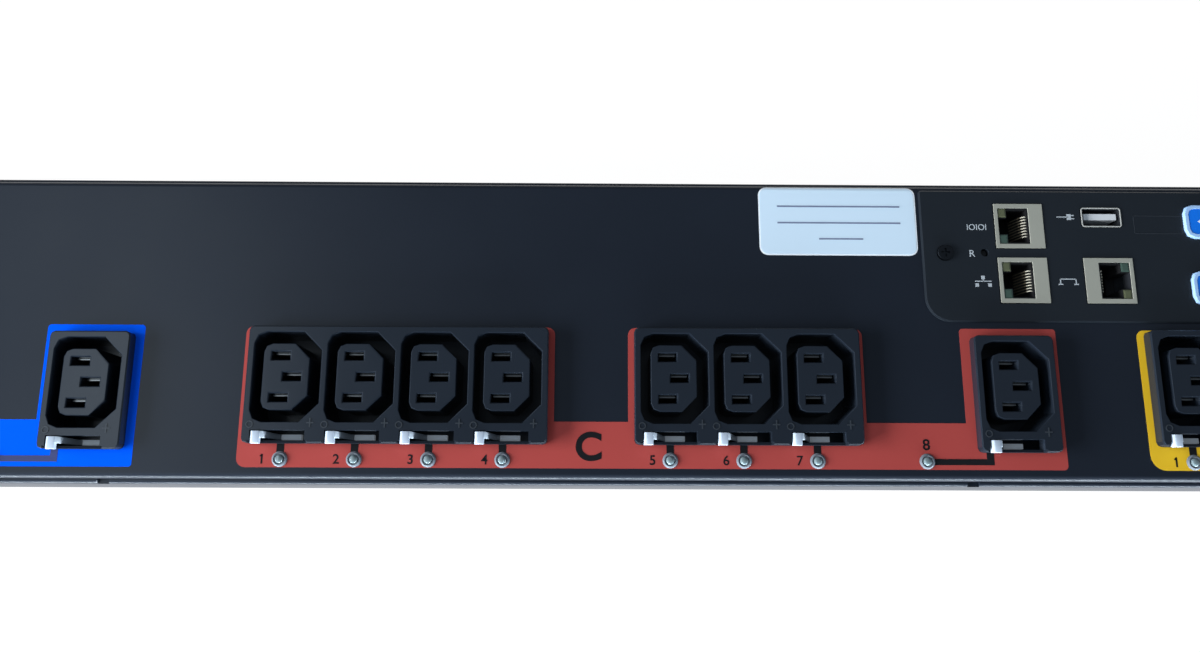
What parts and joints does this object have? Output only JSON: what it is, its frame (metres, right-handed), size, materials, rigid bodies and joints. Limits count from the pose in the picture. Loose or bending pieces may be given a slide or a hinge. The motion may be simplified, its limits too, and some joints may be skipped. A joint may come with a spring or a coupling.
{
  "type": "rack power distribution unit",
  "caption": "Long folded-steel rack power strip with colour-coded groups of keyed appliance outlets, sliding plug-retaining levers and a control module with jacks, keys and display.",
  "frame": {"origin": "centre of the case's back wall, on its outer face", "axes": "+X along the case away from the cable gland, +Y across it towards the control module's edge, +Z out of the front with the outlets"},
  "size_m": [0.98, 0.1082, 0.0575],
  "materials": {
    "case_paint": "satin powder coat",
    "block_plastic": "fine satin",
    "lever_white": "semi-gloss",
    "contact_brass": "bright",
    "light_clear": "clear gloss",
    "screw_steel": "blackened satin",
    "gland_plastic": "satin",
    "board_green": "solder mask",
    "relay_plastic": "moulded",
    "bar_copper": "bright copper",
    "support_plastic": "moulded",
    "bezel_plastic": "satin",
    "display_glass": "gloss",
    "jack_nickel": "satin nickel",
    "insert_plastic": "moulded",
    "tongue_white": "moulded",
    "button_blue": "semi-gloss",
    "reset_plastic": "moulded"
  },
  "bodies": {
    "chassis": {"bar_combs": "support_plastic", "blue_block_four": "block_plastic", "blue_block_single": "block_plastic", "blue_block_three": "block_plastic", "bus_bars": "bar_copper", "display_window": "display_glass", "far_end_plate": "case_paint", "front_cover": "case_paint", "gland_body": "gland_plastic", "gland_dome_nut": "gland_plastic", "gland_lock_nut": "gland_plastic", "inlet_end_plate": "case_paint", "jack_inserts": "insert_plastic", "jack_shields": "jack_nickel", "module_bezel": "bezel_plastic", "module_board": "board_green", "outlet_boards": "board_green", "outlet_contacts": "contact_brass", "outlet_lights": "light_clear", "rear_tray": "case_paint", "red_block_four": "block_plastic", "red_block_single": "block_plastic", "red_block_three": "block_plastic", "relays": "relay_plastic", "screws": "screw_steel", "terminal_block": "support_plastic", "usb_shell": "jack_nickel", "usb_tongue": "tongue_white", "yellow_block_four": "block_plastic", "yellow_block_single": "block_plastic", "yellow_block_three": "block_plastic"},
    "blue_lever_1": {"blue_lever_1": "lever_white"},
    "blue_lever_2": {"blue_lever_2": "lever_white"},
    "blue_lever_3": {"blue_lever_3": "lever_white"},
    "blue_lever_4": {"blue_lever_4": "lever_white"},
    "blue_lever_5": {"blue_lever_5": "lever_white"},
    "blue_lever_6": {"blue_lever_6": "lever_white"},
    "blue_lever_7": {"blue_lever_7": "lever_white"},
    "blue_lever_8": {"blue_lever_8": "lever_white"},
    "red_lever_1": {"red_lever_1": "lever_white"},
    "red_lever_2": {"red_lever_2": "lever_white"},
    "red_lever_3": {"red_lever_3": "lever_white"},
    "red_lever_4": {"red_lever_4": "lever_white"},
    "red_lever_5": {"red_lever_5": "lever_white"},
    "red_lever_6": {"red_lever_6": "lever_white"},
    "red_lever_7": {"red_lever_7": "lever_white"},
    "red_lever_8": {"red_lever_8": "lever_white"},
    "yellow_lever_1": {"yellow_lever_1": "lever_white"},
    "yellow_lever_2": {"yellow_lever_2": "lever_white"},
    "yellow_lever_3": {"yellow_lever_3": "lever_white"},
    "yellow_lever_4": {"yellow_lever_4": "lever_white"},
    "yellow_lever_5": {"yellow_lever_5": "lever_white"},
    "yellow_lever_6": {"yellow_lever_6": "lever_white"},
    "yellow_lever_7": {"yellow_lever_7": "lever_white"},
    "yellow_lever_8": {"yellow_lever_8": "lever_white"},
    "back_button": {"back_button": "button_blue"},
    "down_button": {"down_button": "button_blue"},
    "up_button": {"up_button": "button_blue"},
    "enter_button": {"enter_button": "button_blue"},
    "reset_button": {"reset_button": "reset_plastic"}
  },
  "joints": [
    {"name": "blue_lever_1_slide", "type": "slide", "parent": "chassis", "child": "blue_lever_1", "axis": [1, 0, 0], "range_m": [0, 0.0075]},
    {"name": "blue_lever_2_slide", "type": "slide", "parent": "chassis", "child": "blue_lever_2", "axis": [1, 0, 0], "range_m": [0, 0.0075]},
    {"name": "blue_lever_3_slide", "type": "slide", "parent": "chassis", "child": "blue_lever_3", "axis": [1, 0, 0], "range_m": [0, 0.0075]},
    {"name": "blue_lever_4_slide", "type": "slide", "parent": "chassis", "child": "blue_lever_4", "axis": [1, 0, 0], "range_m": [0, 0.0075]},
    {"name": "blue_lever_5_slide", "type": "slide", "parent": "chassis", "child": "blue_lever_5", "axis": [1, 0, 0], "range_m": [0, 0.0075]},
    {"name": "blue_lever_6_slide", "type": "slide", "parent": "chassis", "child": "blue_lever_6", "axis": [1, 0, 0], "range_m": [0, 0.0075]},
    {"name": "blue_lever_7_slide", "type": "slide", "parent": "chassis", "child": "blue_lever_7", "axis": [1, 0, 0], "range_m": [0, 0.0075]},
    {"name": "blue_lever_8_slide", "type": "slide", "parent": "chassis", "child": "blue_lever_8", "axis": [1, 0, 0], "range_m": [0, 0.0075]},
    {"name": "red_lever_1_slide", "type": "slide", "parent": "chassis", "child": "red_lever_1", "axis": [1, 0, 0], "range_m": [0, 0.0075]},
    {"name": "red_lever_2_slide", "type": "slide", "parent": "chassis", "child": "red_lever_2", "axis": [1, 0, 0], "range_m": [0, 0.0075]},
    {"name": "red_lever_3_slide", "type": "slide", "parent": "chassis", "child": "red_lever_3", "axis": [1, 0, 0], "range_m": [0, 0.0075]},
    {"name": "red_lever_4_slide", "type": "slide", "parent": "chassis", "child": "red_lever_4", "axis": [1, 0, 0], "range_m": [0, 0.0075]},
    {"name": "red_lever_5_slide", "type": "slide", "parent": "chassis", "child": "red_lever_5", "axis": [1, 0, 0], "range_m": [0, 0.0075]},
    {"name": "red_lever_6_slide", "type": "slide", "parent": "chassis", "child": "red_lever_6", "axis": [1, 0, 0], "range_m": [0, 0.0075]},
    {"name": "red_lever_7_slide", "type": "slide", "parent": "chassis", "child": "red_lever_7", "axis": [1, 0, 0], "range_m": [0, 0.0075]},
    {"name": "red_lever_8_slide", "type": "slide", "parent": "chassis", "child": "red_lever_8", "axis": [1, 0, 0], "range_m": [0, 0.0075]},
    {"name": "yellow_lever_1_slide", "type": "slide", "parent": "chassis", "child": "yellow_lever_1", "axis": [1, 0, 0], "range_m": [0, 0.0075]},
    {"name": "yellow_lever_2_slide", "type": "slide", "parent": "chassis", "child": "yellow_lever_2", "axis": [1, 0, 0], "range_m": [0, 0.0075]},
    {"name": "yellow_lever_3_slide", "type": "slide", "parent": "chassis", "child": "yellow_lever_3", "axis": [1, 0, 0], "range_m": [0, 0.0075]},
    {"name": "yellow_lever_4_slide", "type": "slide", "parent": "chassis", "child": "yellow_lever_4", "axis": [1, 0, 0], "range_m": [0, 0.0075]},
    {"name": "yellow_lever_5_slide", "type": "slide", "parent": "chassis", "child": "yellow_lever_5", "axis": [1, 0, 0], "range_m": [0, 0.0075]},
    {"name": "yellow_lever_6_slide", "type": "slide", "parent": "chassis", "child": "yellow_lever_6", "axis": [1, 0, 0], "range_m": [0, 0.0075]},
    {"name": "yellow_lever_7_slide", "type": "slide", "parent": "chassis", "child": "yellow_lever_7", "axis": [1, 0, 0], "range_m": [0, 0.0075]},
    {"name": "yellow_lever_8_slide", "type": "slide", "parent": "chassis", "child": "yellow_lever_8", "axis": [1, 0, 0], "range_m": [0, 0.0075]},
    {"name": "back_button_press", "type": "slide", "parent": "chassis", "child": "back_button", "axis": [0, 0, 1], "range_m": [-0.0008, 0], "stiffness_N_per_m": 300},
    {"name": "down_button_press", "type": "slide", "parent": "chassis", "child": "down_button", "axis": [0, 0, 1], "range_m": [-0.0008, 0], "stiffness_N_per_m": 300},
    {"name": "up_button_press", "type": "slide", "parent": "chassis", "child": "up_button", "axis": [0, 0, 1], "range_m": [-0.0008, 0], "stiffness_N_per_m": 300},
    {"name": "enter_button_press", "type": "slide", "parent": "chassis", "child": "enter_button", "axis": [0, 0, 1], "range_m": [-0.0008, 0], "stiffness_N_per_m": 300},
    {"name": "reset_button_press", "type": "slide", "parent": "chassis", "child": "reset_button", "axis": [0, 0, 1], "range_m": [-0.0008, 0], "stiffness_N_per_m": 300}
  ]
}
